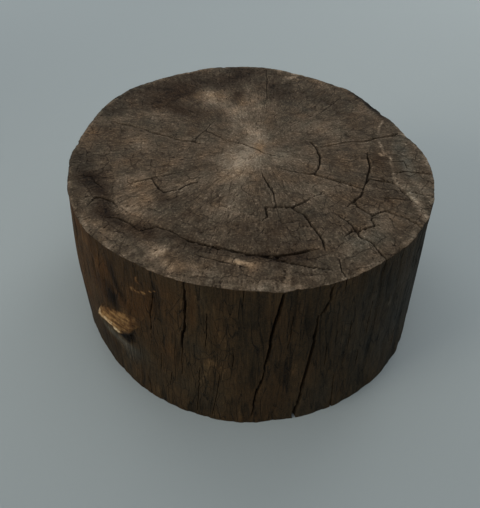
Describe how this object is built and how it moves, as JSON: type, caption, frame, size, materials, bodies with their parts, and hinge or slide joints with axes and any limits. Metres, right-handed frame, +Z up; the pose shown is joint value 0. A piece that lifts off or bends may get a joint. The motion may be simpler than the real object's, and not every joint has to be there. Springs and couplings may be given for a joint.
{
  "type": "tree stump",
  "caption": "Low round tree stump of weathered wood, sawn flat on top and below, with drying checks in the end grain and a broken branch stub on its side.",
  "frame": {"origin": "on the ground, at the centre of the flat base, straight below the middle of the sawn top", "axes": "+Z up along the trunk; the two long wall checks face -Y, and the branch stub is on the wall between -X and -Y"},
  "size_m": [0.4632, 0.4657, 0.224],
  "materials": {
    "weathered_wood": "bare weathered wood: grey-brown sawn end grain with dark stains and open checks, and a darker, fibrous, barkless side"
  },
  "bodies": {
    "root": {"tree_stump": "weathered_wood"}
  },
  "joints": []
}
